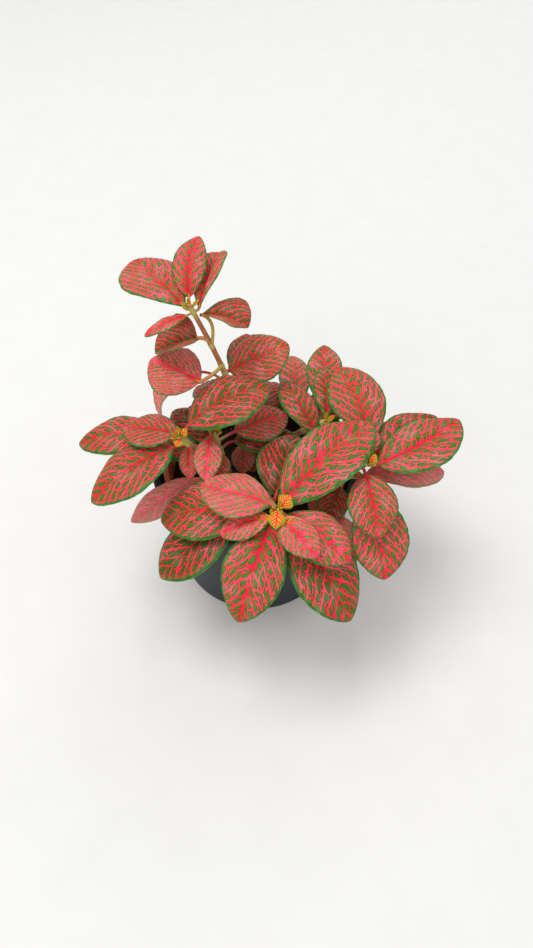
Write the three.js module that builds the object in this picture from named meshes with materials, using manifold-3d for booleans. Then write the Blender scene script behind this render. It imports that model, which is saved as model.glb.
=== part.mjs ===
// A pink-veined nerve plant in a terracotta plastic nursery pot, stood in a dark cover pot.
// Millimetres, +Z up. The origin is the centre of the cover pot's flat underside, -Y is the front.
import * as THREE from "three";
import { mergeVertices } from "three/addons/utils/BufferGeometryUtils.js";
import Module from "manifold-3d";

const wasm = await Module();
wasm.setup();

// Driving dimensions.
const COVER = { height: 76, rimRadius: 50.5, footRadius: 41.5, wall: 3.6, floor: 4, lip: 1.4, bevel: 1.6 };
const NURSERY = { top: 75.5, rimRadius: 45, footRadius: 33, wall: 1.4, floor: 1.6 };
const NURSERY_LIP = { height: 7, out: 1.2 };
const DRAIN = { count: 5, radius: 3, circle: 22 };
const SOIL = { top: 66, bump: 1.6, rings: 5, seed: 7 };
const CLEARANCE = 0.3;
const TURNS = 40;

const STEM = { rootRadius: 1.7, tipRadius: 1.0, depth: 22, steps: 9, hole: 0.6 };
const BLADE = { thickness: 0.9, edge: 0.75, cup: 0.26, droop: 0.34, fullness: 0.64, tipHalfWidth: 0.4 };
const PETIOLE = { radiusPerWidth: 0.033, leastRadius: 0.5, mostRadius: 0.85 };
const BLADE_ROWS = [0, 0.08, 0.22, 0.4, 0.6, 0.78, 0.92, 1];
const SMALL_ROWS = [0, 0.15, 0.4, 0.7, 0.9, 1];
const SMALL_WIDTH = 14;
const COLUMNS = [-1, -0.5, 0, 0.5, 1];

// Each shoot is a stem, given by its foot, two handles and its growing tip, and its leaves, youngest first.
// A leaf leaves the stem at a height and its blade runs from base to tip, in millimetres.
// arch lifts the blade's middle, sway moves it sideways, fold closes it and roll tips it over.
// An elbow is the handle of the petiole's curve, where it isn't the blade's own line carried back.
const SHOOTS = {
  front: {
    stem: [[6, -14], [5, -26, 82], [9, -44, 92], [10, -53, 107]],
    leaves: [
      { at: 106, base: [11.5, -52.5, 106.5], tip: [15, -49, 111], width: 8 },
      { at: 106.5, base: [10, -54.5, 108], tip: [9, -63.5, 107.5], width: 7.5 },
      { at: 104.5, base: [11, -56, 106], tip: [25.5, -74, 103], width: 16, arch: 0.04 },
      { at: 104, base: [7, -53, 101], tip: [-14, -57, 94], width: 15 },
      { at: 102, base: [13.5, -52, 101], tip: [40, -68.5, 92], width: 24, arch: 0.06 },
      { at: 102, base: [7, -48, 104], tip: [-22.5, -39, 105], width: 26, arch: 0.02, roll: -6 },
      { at: 98, base: [7.5, -53.5, 98], tip: [-6, -87, 74], width: 27, arch: 0.12 },
      { at: 98, base: [12, -46.5, 101], tip: [52.5, -8, 110], width: 30, arch: 0.12 },
      { at: 90, base: [0, -41, 91], tip: [-42.5, -38, 78.5], width: 30, roll: 10 },
      { at: 88, base: [16, -49, 91], tip: [40.5, -83.5, 68], width: 30, arch: 0.12, widest: 0.52 },
      { at: 84, base: [-3, -39, 85], tip: [-42, -61, 66], width: 28, arch: 0.06, sway: 0.04, widest: 0.6 },
      { at: 84, base: [9.5, -35, 92], tip: [18, -5, 99], width: 26 },
    ],
  },
  left: {
    stem: [[-12, -6], [-14, -8, 82], [-26, -13, 94], [-33, -16, 110]],
    leaves: [
      { at: 109.5, base: [-31.5, -16.5, 110], tip: [-29, -15, 114], width: 4.5 },
      { at: 109.5, base: [-32, -18, 110], tip: [-33.5, -22, 110], width: 4.5 },
      { at: 108, base: [-34, -14.5, 110], tip: [-58.5, -8, 108], width: 23, arch: 0.03, roll: -6 },
      { at: 105, base: [-30, -14, 102], tip: [-29, -23.5, 89.5], width: 9 },
      { at: 106, base: [-29, -11, 111.5], tip: [7, 5, 119], width: 33, arch: 0.13, sway: -0.02, roll: 6 },
      { at: 104, base: [-36, -19, 106], tip: [-70, -41, 95], width: 29, arch: 0.11, roll: -8 },
      { at: 98, base: [-39, -5, 100], tip: [-81, -7.5, 95], width: 23, widest: 0.56 },
      { at: 79, base: [-23, -15, 80], tip: [-57.5, -34, 71], width: 17, arch: 0.07, widest: 0.56 },
      { at: 84, base: [-26, -4, 85], tip: [-62, 6, 79], width: 22 },
      { at: 78, base: [-21, 5, 82], tip: [-42, 29, 80], width: 19 },
    ],
  },
  tall: {
    stem: [[0, 8], [-5, 13, 92], [-14, 21, 118], [-27, 20, 152]],
    leaves: [
      { at: 151, base: [-29, 20.5, 151], tip: [-53, 44.5, 158], width: 31, arch: 0.05, widest: 0.64, roll: -6 },
      { at: 151, base: [-27.5, 24, 153.5], tip: [-23.5, 47.5, 168], width: 15, sway: -0.06 },
      { at: 150, base: [-23.5, 21.5, 150], tip: [-15, 49, 159], width: 19, widest: 0.62, fold: 25, roll: 20 },
      { at: 149, base: [-28.5, 18, 149], tip: [-46, 9, 145], width: 8, arch: 0.06 },
      {
        at: 131, elbow: [-16, 22.5, 144], base: [-23, 21, 147], tip: [-2.5, 19.5, 141],
        width: 23, arch: 0.04, sway: -0.08, widest: 0.68, fold: 28,
      },
      { at: 131, base: [-24.8, 18.5, 136], tip: [-44, 15.5, 130], width: 28, arch: 0.04, widest: 0.32, fold: 34 },
      {
        at: 120, elbow: [-17.5, 10, 122.5], base: [-24, 5, 122.5], tip: [-46.5, 13.5, 127.5],
        width: 31, arch: 0.05,
      },
      { at: 116, base: [-12, 19.5, 116], tip: [16, 30, 122], width: 26, arch: 0.03, roll: -14 },
      { at: 107, base: [-10, 24, 110], tip: [-3.5, 45.5, 116], width: 13 },
      { at: 106, base: [-26, 24, 111], tip: [-43.5, 9, 89], width: 20, arch: 0.22, sway: 0.3, roll: -25 },
      { at: 92, base: [-10, 24, 91], tip: [-30, 48, 79], width: 24 },
      { at: 88, base: [-5, 3, 84], tip: [-6, -11, 78], width: 12 },
      { at: 86, base: [2, 4.5, 82], tip: [-2, -8.5, 76], width: 12 },
      { at: 82, base: [3, 22, 84], tip: [8, 54, 76], width: 24 },
    ],
  },
  right: {
    stem: [[16, -8], [18, -12, 84], [36, -21, 92], [49, -28, 107]],
    leaves: [
      { at: 106.5, base: [50, -29.5, 107], tip: [52, -27, 111], width: 4.5 },
      { at: 105, base: [49.5, -24, 106], tip: [50, -6.5, 106.5], width: 12 },
      { at: 105, base: [53.5, -27.5, 105], tip: [91.5, -6, 110], width: 27, arch: 0.02, sway: 0.05 },
      { at: 104, base: [48, -31, 103], tip: [52.5, -57.5, 92], width: 22 },
      { at: 99, base: [51, -12, 99], tip: [38.5, 28, 110], width: 27, arch: 0.06, sway: 0.08, widest: 0.58 },
      { at: 93, base: [51, -18, 94], tip: [86.5, 9, 96], width: 23, widest: 0.54 },
      { at: 89, base: [50, -21, 89], tip: [88, -16, 85], width: 21, widest: 0.56 },
      { at: 96, base: [51, -33, 95], tip: [57, -65.5, 72], width: 26, widest: 0.55 },
      { at: 89, base: [38, -28, 90], tip: [32.5, -43, 84], width: 14 },
      { at: 78, base: [33, -20, 78], tip: [28.5, -40, 79], width: 13 },
      { at: 84, base: [36.5, -38, 83], tip: [44.5, -58, 74], width: 12 },
      { at: 84, base: [36, -10, 85], tip: [73, 17, 80], width: 23 },
    ],
  },
  middle: {
    stem: [[-9, -14], [-12, -11, 80], [-17, -7, 90], [-18, -6, 101]],
    leaves: [
      { at: 100.5, base: [-17.5, -5, 101], tip: [-16, -3, 105], width: 4.5 },
      { at: 100, base: [-20, -9, 102.5], tip: [-21, -31, 97], width: 13 },
      { at: 96, base: [-9.5, 1, 94.5], tip: [15.5, 10.5, 95.5], width: 24, arch: 0.06 },
      { at: 92, base: [-17.5, -11, 94], tip: [-17, -23, 88], width: 13 },
      { at: 90, base: [-10, -1, 90], tip: [20, 3.5, 88], width: 19, arch: 0.03 },
    ],
  },
  back: {
    stem: [[10, 8], [12, 10, 82], [26, 6, 90], [33, 2, 101]],
    leaves: [
      { at: 99, base: [28, -3, 98.5], tip: [12.5, 22.5, 106], width: 17, roll: -8 },
      { at: 100, base: [33.5, 4, 101.5], tip: [33, 32, 107], width: 12 },
      { at: 96, base: [32.5, 15.5, 97], tip: [35, 51, 104], width: 18 },
      { at: 90, base: [20, 20, 90], tip: [19, 63.5, 86], width: 16 },
      { at: 84, base: [26, 16, 85], tip: [53, 44, 78], width: 24 },
    ],
  },
};

const material = (color, roughness) => new THREE.MeshStandardMaterial({ color, roughness, metalness: 0 });
const FINISH = {
  cover: material(0x24272d, 0.45),
  nursery: material(0xb4623f, 0.6),
  soil: material(0x17120e, 0.95),
  foliage: material(0xd8465c, 0.5),
};

// A repeatable random number from 0 to 1.
function random(seed) {
  const s = Math.sin(seed * 127.1 + 311.7) * 43758.5453;
  return s - Math.floor(s);
}

function solid(geometry) {
  const bare = new THREE.BufferGeometry().setAttribute("position", geometry.getAttribute("position"));
  if (geometry.index) bare.setIndex(geometry.index);
  const merged = mergeVertices(bare, 1e-4);
  return new wasm.Manifold(
    new wasm.Mesh({
      numProp: 3,
      vertProperties: merged.attributes.position.array,
      triVerts: new Uint32Array(merged.index.array),
    }),
  );
}

function meshOf(name, made, finish) {
  const data = made.getMesh();
  const geometry = new THREE.BufferGeometry();
  geometry.setAttribute("position", new THREE.BufferAttribute(data.vertProperties, 3));
  geometry.setIndex(new THREE.BufferAttribute(data.triVerts, 1));
  geometry.computeVertexNormals();
  const mesh = new THREE.Mesh(geometry, finish);
  mesh.name = name;
  return mesh;
}

const joined = (solids) => wasm.Manifold.union(solids);

// A closed body of rows of points. Each row has a top side and an under side, split alike.
function loft(rows) {
  const columns = rows[0].top.length;
  const points = [];
  for (const row of rows) points.push(...row.top, ...row.under);
  const top = (i, j) => i * 2 * columns + j;
  const under = (i, j) => top(i, j) + columns;
  const faces = [];
  const quad = (a, b, c, d) => faces.push(a, b, c, a, c, d);
  const both = (a, b, c) => {
    faces.push(top(...a), top(...b), top(...c));
    faces.push(under(...c), under(...b), under(...a));
  };
  const last = rows.length - 1;
  for (let i = 0; i < last; i++) {
    for (let j = 0; j < columns - 1; j++) {
      const [a, b, c, d] = [[i, j], [i, j + 1], [i + 1, j + 1], [i + 1, j]];
      const leftHalf = 2 * j < columns - 1;
      both(...(leftHalf ? [a, b, c] : [b, c, d]));
      both(...(leftHalf ? [a, c, d] : [b, d, a]));
    }
    quad(under(i, 0), top(i, 0), top(i + 1, 0), under(i + 1, 0));
    const e = columns - 1;
    quad(top(i, e), under(i, e), under(i + 1, e), top(i + 1, e));
  }
  for (let j = 0; j < columns - 1; j++) {
    quad(under(0, j), under(0, j + 1), top(0, j + 1), top(0, j));
    quad(top(last, j), top(last, j + 1), under(last, j + 1), under(last, j));
  }
  const geometry = new THREE.BufferGeometry().setFromPoints(points);
  geometry.setIndex(faces);
  return solid(geometry);
}

// A round rod's row at a point: the upper half of the circle, then the lower half.
function roundRow(centre, side, normal, radius, columns) {
  const arc = (sign) =>
    columns.map((v) =>
      centre
        .clone()
        .addScaledVector(side, radius * Math.sin((v * Math.PI) / 2.001))
        .addScaledVector(normal, sign * radius * Math.max(Math.cos((v * Math.PI) / 2), 0.15)),
    );
  return { top: arc(1), under: arc(-1) };
}

// The stem's curve, from the soil up to its growing tip.
function stemCurve([foot, ...rest]) {
  const ground = new THREE.Vector3(foot[0], foot[1], SOIL.top);
  return new THREE.CubicBezierCurve3(ground, ...rest.map((p) => new THREE.Vector3(...p)));
}

function pointAtHeight(curve, height) {
  let low = 0;
  let high = 1;
  for (let i = 0; i < 24; i++) {
    const middle = (low + high) / 2;
    if (curve.getPoint(middle).z < height) low = middle;
    else high = middle;
  }
  return curve.getPoint(low);
}

// The part of a direction that lies square to another one.
function squareTo(direction, tangent) {
  return direction.clone().addScaledVector(tangent, -direction.dot(tangent)).normalize();
}

// A stem: a tapered rod that starts deep in its hole in the soil.
function stem(points) {
  const curve = stemCurve(points);
  const east = new THREE.Vector3(1, 0, 0);
  const ground = curve.getPoint(0);
  const foot = ground.clone().setZ(SOIL.top - STEM.depth);
  const rodRow = (centre, tangent, radius) => {
    const side = squareTo(east, tangent);
    return roundRow(centre, side, side.clone().cross(tangent), radius, [-1, 0, 1]);
  };
  const up = new THREE.Vector3(0, 0, 1);
  const rows = [rodRow(foot, up, STEM.rootRadius), rodRow(ground, up, STEM.rootRadius)];
  for (let i = 1; i <= STEM.steps; i++) {
    const u = i / STEM.steps;
    const radius = THREE.MathUtils.lerp(STEM.rootRadius, STEM.tipRadius, u);
    rows.push(rodRow(curve.getPoint(u), curve.getTangent(u), radius));
  }
  return loft(rows);
}

// A blade's half width as a share of its widest, from its base at 0 to its tip at 1.
function outline(t, widest) {
  const swell = Math.sin(Math.PI * t ** (Math.log(0.5) / Math.log(widest)));
  return Math.max(swell, 0) ** BLADE.fullness;
}

// One leaf: a round petiole that opens into an arched blade, sunk a little along its midrib.
function leaf(curve, { at, elbow, base, tip, width, arch = 0.1, sway = 0, widest = 0.5, fold = 0, roll = 0 }) {
  const node = pointAtHeight(curve, at);
  const start = new THREE.Vector3(...base);
  const end = new THREE.Vector3(...tip);
  const chord = end.clone().sub(start);
  const level = new THREE.Vector3(chord.y, -chord.x, 0).normalize();
  const rise = level.clone().cross(chord);
  const bend = start.clone().lerp(end, 0.5).addScaledVector(rise, 2 * arch);
  bend.addScaledVector(level, 2 * sway * chord.length());
  const rib = new THREE.QuadraticBezierCurve3(start, bend, end);
  const reach = node.distanceTo(start);
  const ahead = start.clone().addScaledVector(rib.getTangent(0), -reach / 2);
  const turn = elbow ? new THREE.Vector3(...elbow) : ahead;
  const stalk = new THREE.QuadraticBezierCurve3(node, turn, start);
  const { radiusPerWidth, leastRadius, mostRadius } = PETIOLE;
  const radius = THREE.MathUtils.clamp(width * radiusPerWidth, leastRadius, mostRadius);
  const folded = THREE.MathUtils.degToRad(fold);
  const rolled = THREE.MathUtils.degToRad(roll);

  const rows = [0, 0.35, 0.7].map((u) => {
    const side = squareTo(level, stalk.getTangent(u));
    return roundRow(stalk.getPoint(u), side, side.clone().cross(stalk.getTangent(u)), radius, COLUMNS);
  });
  for (const t of width < SMALL_WIDTH ? SMALL_ROWS : BLADE_ROWS) {
    const flat = squareTo(level, rib.getTangent(t));
    const upright = flat.clone().cross(rib.getTangent(t));
    const side = flat.clone().multiplyScalar(Math.cos(rolled)).addScaledVector(upright, Math.sin(rolled));
    const normal = side.clone().cross(rib.getTangent(t));
    const least = THREE.MathUtils.lerp(radius * 1.2, BLADE.tipHalfWidth, t);
    const half = Math.max((width / 2) * outline(t, widest), least);
    const skin = (face) =>
      COLUMNS.map((v) => {
        const out = Math.abs(v);
        const lift = half * (out * Math.sin(folded) + BLADE.cup * out - BLADE.droop * out * out);
        const thick = THREE.MathUtils.lerp(BLADE.thickness, BLADE.edge, out) / 2;
        return rib
          .getPoint(t)
          .addScaledVector(side, v * half * Math.cos(folded) - face * thick * Math.sign(v) * Math.sin(folded))
          .addScaledVector(normal, lift + face * thick * Math.cos(folded));
      });
    rows.push({ top: skin(1), under: skin(-1) });
  }
  return loft(rows);
}

function shoot(name, { stem: points, leaves }) {
  const curve = stemCurve(points);
  const solids = [stem(points), ...leaves.map((one) => leaf(curve, one))];
  return meshOf("shoot_" + name, joined(solids), FINISH.foliage);
}

// A solid turned about the Z axis from its profile of radius and height.
function lathe(profile) {
  const points = profile.map(([radius, z]) => new THREE.Vector2(radius, z));
  return solid(new THREE.LatheGeometry(points, TURNS).rotateX(Math.PI / 2));
}

// The cover pot: a tapered cup with a rounded lip and a bevelled foot.
function coverPot() {
  const { height, rimRadius, footRadius, wall, floor, lip, bevel } = COVER;
  const insideAt = (z) => footRadius + ((rimRadius - footRadius) * z) / height - wall;
  return lathe([
    [0, 0],
    [footRadius - bevel, 0],
    [footRadius, bevel],
    [rimRadius, height - lip],
    [rimRadius - 0.4 * lip, height - 0.25 * lip],
    [rimRadius - lip, height],
    [rimRadius - wall + 0.8 * lip, height],
    [rimRadius - wall, height - lip],
    [insideAt(floor), floor],
    [0, floor],
  ]);
}

const nurseryFoot = COVER.floor + CLEARANCE;

// The nursery pot's outer radius below its lip, at a height.
function nurseryRadius(z) {
  const { top, rimRadius, footRadius } = NURSERY;
  const spread = rimRadius - NURSERY_LIP.out - footRadius;
  return footRadius + (spread * (z - nurseryFoot)) / (top - nurseryFoot);
}

// The nursery pot: a thin tapered cup with a stepped lip and a ring of drain holes.
function nurseryPot() {
  const { top, rimRadius, footRadius, wall, floor } = NURSERY;
  const lipFoot = top - NURSERY_LIP.height;
  const shell = lathe([
    [0, nurseryFoot],
    [footRadius, nurseryFoot],
    [nurseryRadius(lipFoot), lipFoot],
    [rimRadius, lipFoot],
    [rimRadius, top - 0.6],
    [rimRadius - 0.6, top],
    [nurseryRadius(top) - wall + 0.3, top],
    [nurseryRadius(top) - wall, top - 0.6],
    [footRadius - wall, nurseryFoot + floor],
    [0, nurseryFoot + floor],
  ]);
  const drains = [];
  for (let i = 0; i < DRAIN.count; i++) {
    const turn = (2 * Math.PI * i) / DRAIN.count;
    const hole = new THREE.CylinderGeometry(DRAIN.radius, DRAIN.radius, 4 * floor, 12).rotateX(Math.PI / 2);
    hole.translate(DRAIN.circle * Math.cos(turn), DRAIN.circle * Math.sin(turn), nurseryFoot + floor / 2);
    drains.push(solid(hole));
  }
  return shell.subtract(joined(drains));
}

// The soil: a plug that fills the nursery pot, with a crumbly top and a plain hole for each stem.
function soil() {
  const low = nurseryFoot + NURSERY.floor + CLEARANCE;
  const inside = (z) => nurseryRadius(z) - NURSERY.wall - 2 * CLEARANCE;
  const ring = (radius, z, bump) =>
    Array.from({ length: TURNS }, (_, i) => {
      const turn = (2 * Math.PI * i) / TURNS;
      const lift = bump * (random(SOIL.seed + i + 97 * radius) - 0.5) * 2;
      return new THREE.Vector3(radius * Math.cos(turn), radius * Math.sin(turn), z + lift);
    });
  const rings = [ring(inside(low), low, 0)];
  for (let k = SOIL.rings; k > 0; k--) {
    const bump = k < SOIL.rings ? SOIL.bump : 0;
    rings.push(ring((inside(SOIL.top) * k) / SOIL.rings, SOIL.top, bump));
  }
  const points = [new THREE.Vector3(0, 0, low), ...rings.flat(), new THREE.Vector3(0, 0, SOIL.top)];
  const faces = [];
  const at = (k, i) => 1 + k * TURNS + (i % TURNS);
  const lastPoint = points.length - 1;
  for (let i = 0; i < TURNS; i++) {
    faces.push(0, at(0, i + 1), at(0, i));
    for (let k = 0; k < rings.length - 1; k++) {
      faces.push(at(k, i), at(k, i + 1), at(k + 1, i + 1), at(k, i), at(k + 1, i + 1), at(k + 1, i));
    }
    faces.push(at(rings.length - 1, i), at(rings.length - 1, i + 1), lastPoint);
  }
  const plug = solid(new THREE.BufferGeometry().setFromPoints(points).setIndex(faces));
  const holes = Object.values(SHOOTS).map(({ stem: [foot] }) => {
    const radius = STEM.rootRadius + STEM.hole;
    const depth = STEM.depth + CLEARANCE;
    const hole = new THREE.CylinderGeometry(radius, radius, depth + 10, 10).rotateX(Math.PI / 2);
    return solid(hole.translate(foot[0], foot[1], SOIL.top - depth / 2 + 5));
  });
  return plug.subtract(joined(holes));
}

const plant = new THREE.Group();
plant.add(meshOf("cover_pot", coverPot(), FINISH.cover));
plant.add(meshOf("nursery_pot", nurseryPot(), FINISH.nursery));
plant.add(meshOf("soil", soil(), FINISH.soil));
for (const [name, parts] of Object.entries(SHOOTS)) plant.add(shoot(name, parts));

export default plant;
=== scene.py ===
"""A pink-veined nerve plant in its nursery pot, stood in a dark cover pot. Lengths are in millimetres."""
import math
import random
from typing import NamedTuple

import bpy
import numpy as np
from mathutils import Euler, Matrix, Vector, noise


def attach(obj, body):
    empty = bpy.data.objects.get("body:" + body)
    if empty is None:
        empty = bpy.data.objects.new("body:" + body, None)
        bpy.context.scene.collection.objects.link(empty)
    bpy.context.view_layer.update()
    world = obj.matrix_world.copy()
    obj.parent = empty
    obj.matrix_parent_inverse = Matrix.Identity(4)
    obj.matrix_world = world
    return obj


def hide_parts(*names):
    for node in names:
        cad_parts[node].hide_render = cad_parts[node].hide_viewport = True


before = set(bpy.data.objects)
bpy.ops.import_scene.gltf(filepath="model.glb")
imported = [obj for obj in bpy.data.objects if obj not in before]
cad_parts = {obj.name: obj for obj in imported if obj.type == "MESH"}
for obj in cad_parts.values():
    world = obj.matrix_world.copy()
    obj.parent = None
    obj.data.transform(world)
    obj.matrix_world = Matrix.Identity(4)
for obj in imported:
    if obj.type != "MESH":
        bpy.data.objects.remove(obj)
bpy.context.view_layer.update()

MM = 0.001
FULL_TURN = 2 * math.pi
SOIL_TOP = 66

# Stems: radius at the soil and at the tip, depth in the soil, and swelling at a node.
STEM_ROOT = 1.7
STEM_TIP = 1
STEM_DEPTH = 22
NODE_SWELL = 0.22
NODE_REACH = 1.6
STEM_STEPS = 90
ROOT_STEPS = 5
STEM_SIDES = 14
# A direction that no stem or stalk follows.
OFF_AXIS = (0.3, 0.9, 0.2)

# Hairs on the stems. Their mark tells the stem's material what is a hair.
HAIR_COUNT = 380
HAIR_LENGTHS = (0.45, 0.8)
HAIR_LEANS = (-0.1, 0.25)
HAIR_RADII = (0.05, 0.012)
HAIR_MARK = 2

# Stalks: their radius, their wider foot, and the end that runs on under the midrib.
PETIOLE_PER_WIDTH = 0.033
PETIOLE_RADII = (0.5, 0.85)
STALK_FOOT = (1.35, 1.15, 1.05)
STALK_END = 0.28
STALK_UNDER = 0.3
STALK_SINK = (0.2, 0.5, 0.7, 0.7, 0.65, 0.6)
STALK_STEPS = 14
STALK_SIDES = 10
# The stalks turn pale between these heights.
PALE_STALKS = (112, 130)

# Blades: the rise from the midrib and the fall at the edge as shares of the half width, the outline's
# fullness, the thickness, and the half width at the base, as a share of the stalk's radius, and at the tip.
CUP = 0.26
DROOP = 0.34
FULLNESS = 0.64
THICKNESS = 0.5
BASE_SHARE = 0.9
TIP_HALF = 0.24
# Powers that round off the thickness at the edge and at the two ends.
EDGE_ROUNDING = 6
END_ROUNDING = 14
# Ripples of the outline: height as a share of the width, number, and shift from leaf to leaf.
EDGE_RIPPLES = ((0.008, 7, 1), (0.005, 13, 2))
# Waves of the edge: height, number along the blade, and shift between its halves.
WAVE = 0.35
WAVES = 2.3
WAVE_SHIFT = 0.3
# Rows and columns of a blade's faces, and how they crowd at its ends and edges.
BLADE_GRID = (60, 34)
SMALL_GRID = (34, 20)
TIP_GRID = (14, 12)
SMALL_WIDTH = 14
END_CROWD = 0.55
EDGE_CROWD = 0.35

# The veins are drawn for a leaf this long, and scaled with its length between two limits.
PATTERN_LENGTH = 48
PATTERN_SCALES = (0.28, 1.12)
PATTERN_POWER = 0.7
# Side veins stand this far apart along the midrib, and closer together towards the leaf's base.
VEIN_SPACING = 5.9
VEIN_CROWD = 1.15
CROWD_REACH = 14
# A side vein's rise towards the tip for each millimetre outwards: at the leaf's base, its gain along the
# midrib, and its curve. A millimetre outwards is this long a way along the vein.
VEIN_SLOPE = 0.46
VEIN_FAN = 0.017
VEIN_CURVE = 0.024
VEIN_STRETCH = 1.3
# Added to the vein numbers on one side of the midrib, so that the side veins alternate.
OTHER_SIDE = 40.5

# Relief: the quilting between the side veins and where it starts, the groove along the midrib, which fades
# towards the tip, and the keel under it.
QUILT = 0.5
QUILT_START = (0.3, 3)
QUILT_MARGIN = 3.2
GROOVE = 0.45
GROOVE_HALF = 0.9
GROOVE_FADE = 0.6
KEEL = 0.5
KEEL_HALF = 0.8

# Colour pattern: how much wider the veins of the youngest leaves, the oldest ones and the buds are drawn.
YOUNG_VEINS = 1.62
OLD_VEINS = 0.82
BUD_VEINS = 0.8
# Half widths: the midrib's at its base and end. Then, as shares of the spacing, a side vein's beside the
# midrib and further out, and the net's beside it on the youngest and the oldest leaves and further out.
RIB_WIDTHS = (0.48, 0.1)
RIB_END = 46
SIDE_WIDTHS = (0.08, 0.085)
INNER_NET = (0.16, -0.01)
OUTER_NET = 0.08
# The green margin of the youngest and the oldest leaves.
MARGINS = (0.2, 1.1)
# The net's islands: their length, how they shorten outwards, their crowding at the side veins, and disorder.
NET_LENGTH = 4.3
NET_SHORTENING = 15
NET_CROWDING = 0.5
NET_RANDOMNESS = 0.62
# The side veins drift as they run outwards: a noise's scale, and how far as a share of the spacing.
VEIN_DRIFTS = ((0.3, 0.42), (0.7, 0.1))
# How far the leaves' patterns lie apart in the noise and in the net.
NOISE_SHIFT = 60
NET_SHIFT = 37

# Growing tips: leaflets that turn, lean out and lengthen one after another.
BUD = -1
TIP_LEAFLETS = 5
TIP_TURN = 137
TIP_REACH = (2.6, 3.6)
TIP_GAIN = 0.35
TIP_LEANS = (0.35, 0.22)
TIP_WIDTH = 0.62
BUD_CRUMPLE = 2.2
BUD_FULLNESS = 0.95


class Leaf(NamedTuple):
    """A leaf: its node's height on the stem, its blade's base and tip, and its form. Age is from 0 to 1."""

    at: float
    base: tuple
    tip: tuple
    width: float
    age: float = 0.5
    arch: float = 0.1
    sway: float = 0.0
    widest: float = 0.5
    fold: float = 0.0
    roll: float = 0.0
    # Pale lays the underside's colour on the top: partly the leaf's own paleness, partly painted light on
    # leaves in shade.
    pale: float = 0.0
    elbow: tuple = ()


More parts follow.
